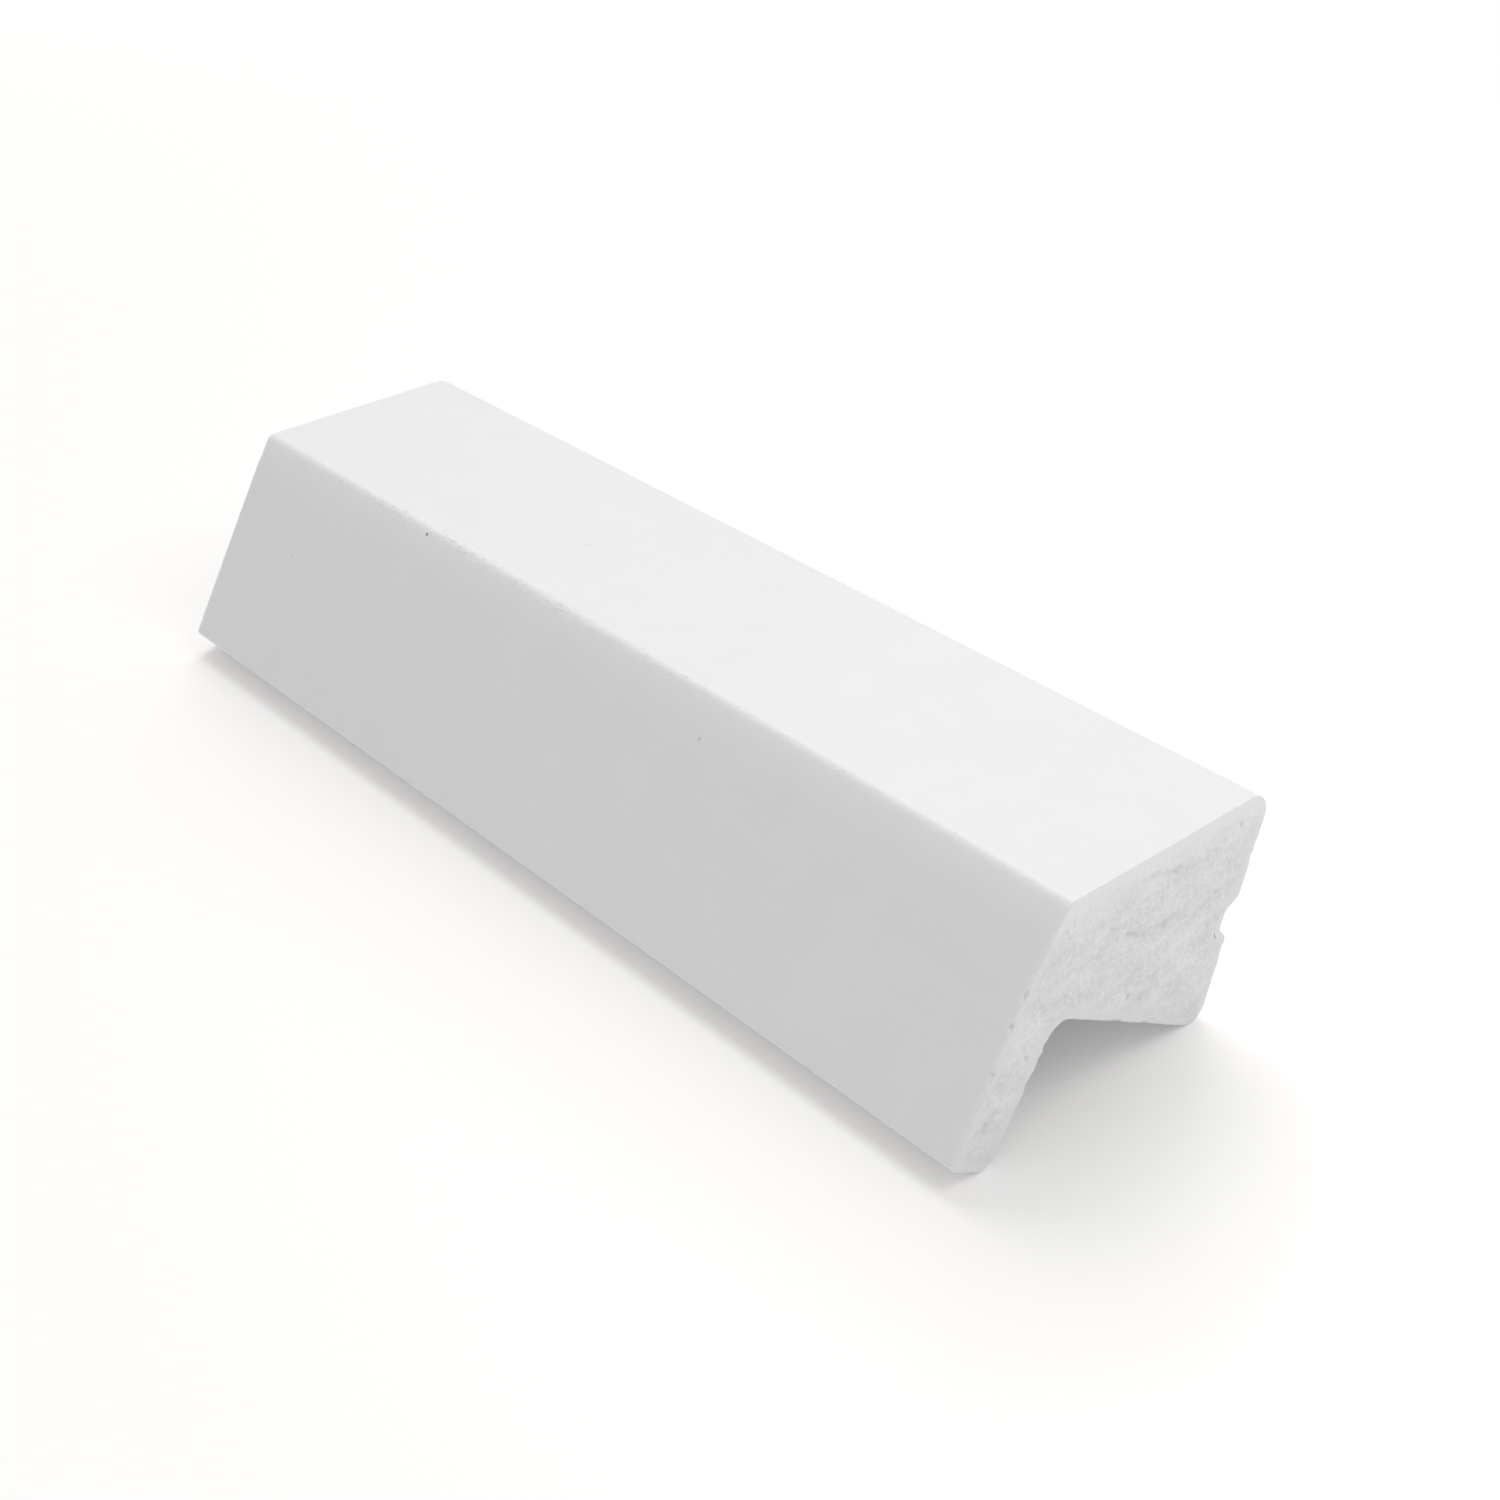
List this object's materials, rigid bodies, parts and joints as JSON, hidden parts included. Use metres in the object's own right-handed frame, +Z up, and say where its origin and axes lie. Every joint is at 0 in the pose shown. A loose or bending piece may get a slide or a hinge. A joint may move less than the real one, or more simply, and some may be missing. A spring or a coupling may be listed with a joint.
{
  "type": "rebated trim profile",
  "caption": "Cut length of white cellular plastic trim: sloping top, front leg with a square rebate behind it, and a shallow groove along the back.",
  "frame": {"origin": "middle of the length and of the footprint's box, on the surface that the trim stands on", "axes": "+X along the length, +Y from the front face to the back, +Z up as the trim stands on the tip of its leg and the back foot of its body"},
  "size_m": [0.164, 0.0518, 0.0307],
  "materials": {
    "skin": "smooth satin white extruded skin, lightly scuffed along the front top edge",
    "foam": "sawn cellular foam, fine open grain with small pits and tear lines"
  },
  "bodies": {
    "root": {"outer_skin": "skin", "foam_core": "foam"}
  },
  "joints": []
}
